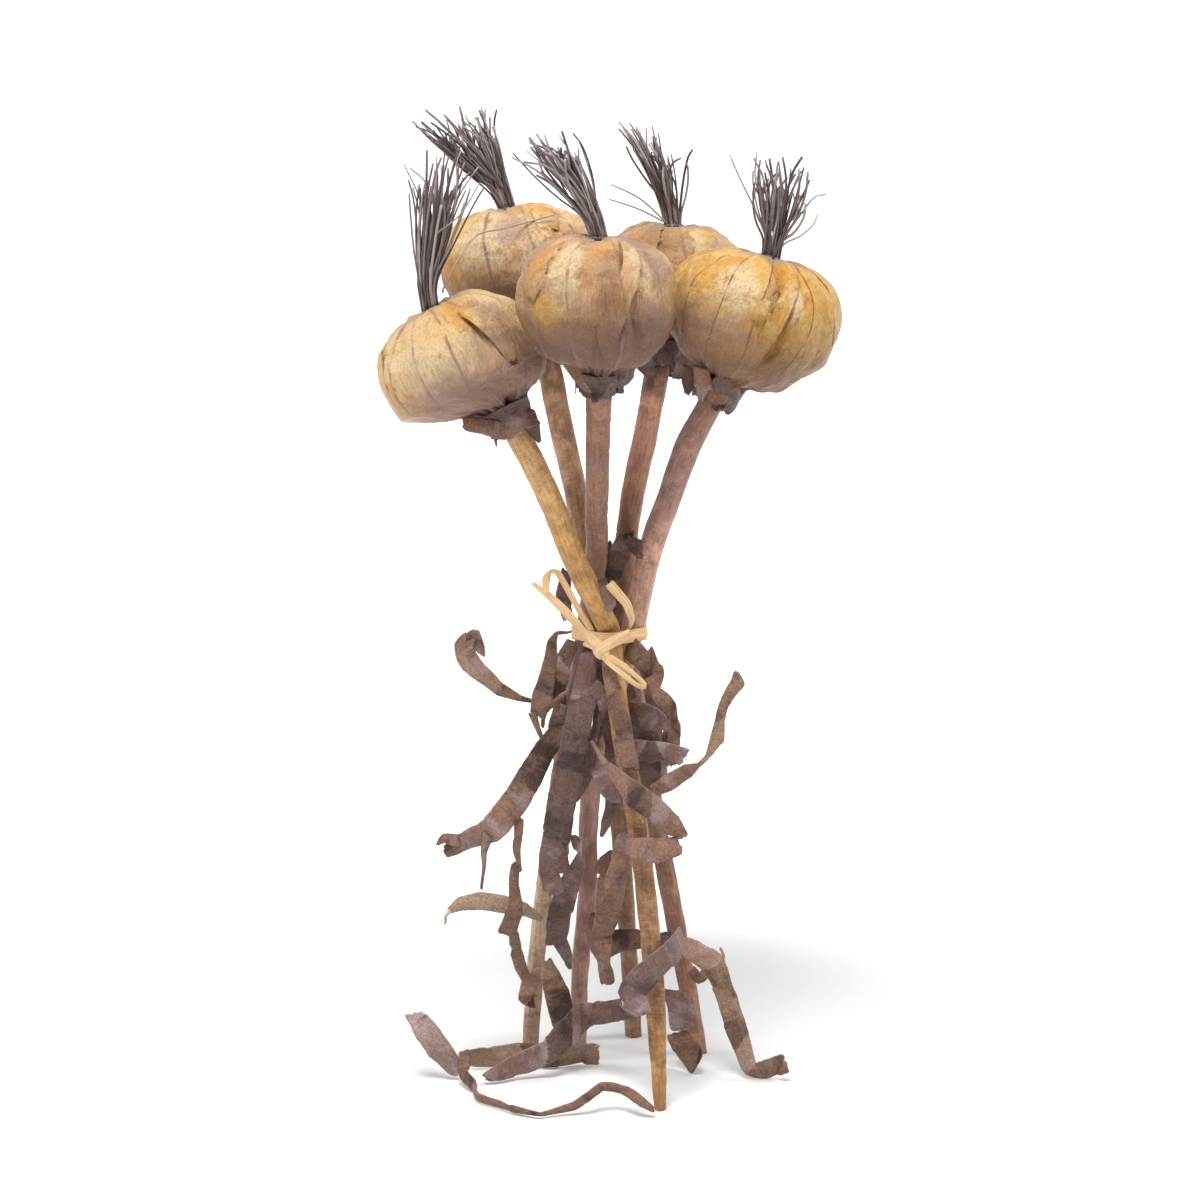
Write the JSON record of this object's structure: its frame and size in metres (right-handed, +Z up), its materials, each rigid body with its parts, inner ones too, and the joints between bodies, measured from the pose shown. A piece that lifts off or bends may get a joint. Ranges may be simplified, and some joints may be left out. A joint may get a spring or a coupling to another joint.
{
  "type": "bundle of dried garlic",
  "caption": "Bundle of dried garlic heads with root tufts on long dry stalks, bound with raffia and standing on the stalk ends, with shredded dry leaves.",
  "frame": {"origin": "bottom centre of the bundle's box, on the surface that it stands on", "axes": "+Z up along the stalks towards the heads, the pictured side faces -Y, +X to its right"},
  "size_m": [0.1818, 0.1471, 0.4008],
  "materials": {
    "skin_cream": "dry papery skin, cream to yellow with mauve veins and amber stains",
    "skin_gold": "dry papery skin, golden with mauve veins",
    "skin_olive": "dry papery skin, dull yellow brown",
    "bark_straw": "dry fibrous stalk, straw yellow",
    "bark_mauve": "dry fibrous stalk, mauve brown",
    "root_fibre": "wiry dry root fibres, grey brown",
    "leaf_brown": "crinkled dead leaf, brown",
    "leaf_mauve": "crinkled dead leaf, mauve grey",
    "leaf_tan": "crinkled dead leaf, tan",
    "raffia": "pale straw raffia strip"
  },
  "bodies": {
    "root": {"bulb_1": "skin_cream", "bulb_2": "skin_olive", "bulb_3": "skin_gold", "bulb_4": "skin_olive", "bulb_5": "skin_gold", "roots_1": "root_fibre", "roots_2": "root_fibre", "roots_3": "root_fibre", "roots_4": "root_fibre", "roots_5": "root_fibre", "stem_1": "bark_straw", "stem_2": "bark_straw", "stem_3": "bark_mauve", "stem_4": "bark_mauve", "stem_5": "bark_mauve", "leaf_main": "leaf_mauve", "leaf_far_left": "leaf_tan", "leaf_lance": "leaf_brown", "leaf_folded": "leaf_tan", "leaf_forked": "leaf_brown", "leaf_branch": "leaf_brown", "leaf_hook": "leaf_brown", "leaf_tan_left": "leaf_tan", "leaf_wave_right": "leaf_tan", "leaf_square": "leaf_mauve", "leaf_scrunched": "leaf_brown", "leaf_purple_tip": "leaf_mauve", "leaf_stalk_strip": "leaf_brown", "leaf_diagonal": "leaf_brown", "leaf_fold_band": "leaf_brown", "leaf_crumple": "leaf_mauve", "leaf_middle": "leaf_brown", "leaf_left_middle": "leaf_mauve", "leaf_short": "leaf_brown", "leaf_back_band": "leaf_brown", "leaf_front_fold": "leaf_mauve", "leaf_far_right": "leaf_tan", "leaf_curl": "leaf_brown", "leaf_foot_fold": "leaf_mauve", "leaf_square_end": "leaf_brown", "leaf_gold_fold": "leaf_tan", "leaf_low_long": "leaf_mauve", "leaf_floor": "leaf_tan", "leaf_pink_left": "leaf_mauve", "leaf_front_arc": "leaf_brown", "leaf_back_middle": "leaf_brown", "leaf_back_left": "leaf_mauve", "leaf_back_right": "leaf_brown", "leaf_back_low": "leaf_tan", "leaf_sheath": "leaf_mauve", "leaf_left_peel": "leaf_mauve", "leaf_right_peel": "leaf_brown", "tie_band": "raffia", "tie_knot": "raffia", "tie_long_end": "raffia", "tie_upper_loop": "raffia", "tie_right_end": "raffia", "tie_lower_loop": "raffia"}
  },
  "joints": []
}
